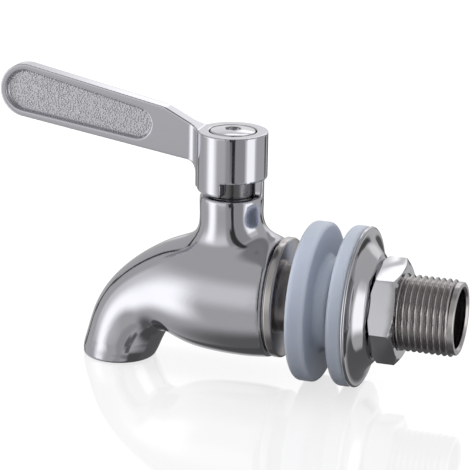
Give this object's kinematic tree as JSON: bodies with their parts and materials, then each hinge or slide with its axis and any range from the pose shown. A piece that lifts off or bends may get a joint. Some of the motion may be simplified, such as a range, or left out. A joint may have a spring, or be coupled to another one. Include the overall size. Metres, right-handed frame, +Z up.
{
  "type": "lever beverage tap",
  "caption": "Polished steel drinks tap with a quarter-turn lever, a down-turned spout and a threaded shank that clamps through a dispenser's wall with soft washers and a nut.",
  "frame": {"origin": "on the shank's axis, in the rear face of the collar, which faces the dispenser's wall", "axes": "+X along the shank to the inlet, -X towards the spout, +Z up along the stem"},
  "size_m": [0.1057, 0.035, 0.0647],
  "materials": {
    "polished_steel": "polished stainless",
    "turned_steel": "turned stainless",
    "silicone": "satin silicone",
    "ptfe": "smooth",
    "nitrile": "satin"
  },
  "bodies": {
    "tap_body": {"spout_body": "polished_steel", "tailpiece": "turned_steel", "body_seal": "ptfe", "front_seat": "ptfe", "rear_seat": "ptfe", "front_washer": "silicone"},
    "lever": {"lever_handle": "polished_steel", "handle_screw": "turned_steel", "spring_washer": "turned_steel", "stem": "turned_steel", "valve_ball": "turned_steel", "stem_o_ring_lower": "nitrile", "stem_o_ring_upper": "nitrile", "thrust_washer": "ptfe"},
    "clamp_washers": {"rear_washer": "silicone", "dished_washer": "polished_steel"},
    "nut": {"lock_nut": "turned_steel"}
  },
  "joints": [
    {"name": "lever_turn", "type": "hinge", "parent": "tap_body", "child": "lever", "pos_m": [-0.0136, 0, 0.023], "axis": [0, 0, 1], "range_deg": [0, 90]},
    {"name": "washer_slide", "type": "slide", "parent": "tap_body", "child": "clamp_washers", "axis": [1, 0, 0], "range_m": [-0.0016, 0.012]},
    {"name": "nut_turn", "type": "hinge", "parent": "clamp_washers", "child": "nut", "pos_m": [0.0231, 0, 0], "axis": [1, 0, 0], "range_deg": [-430, 3230]}
  ],
  "couplings": [
    {"joint": "washer_slide", "follows": "nut_turn", "m_per_rad": 0.00021279}
  ]
}
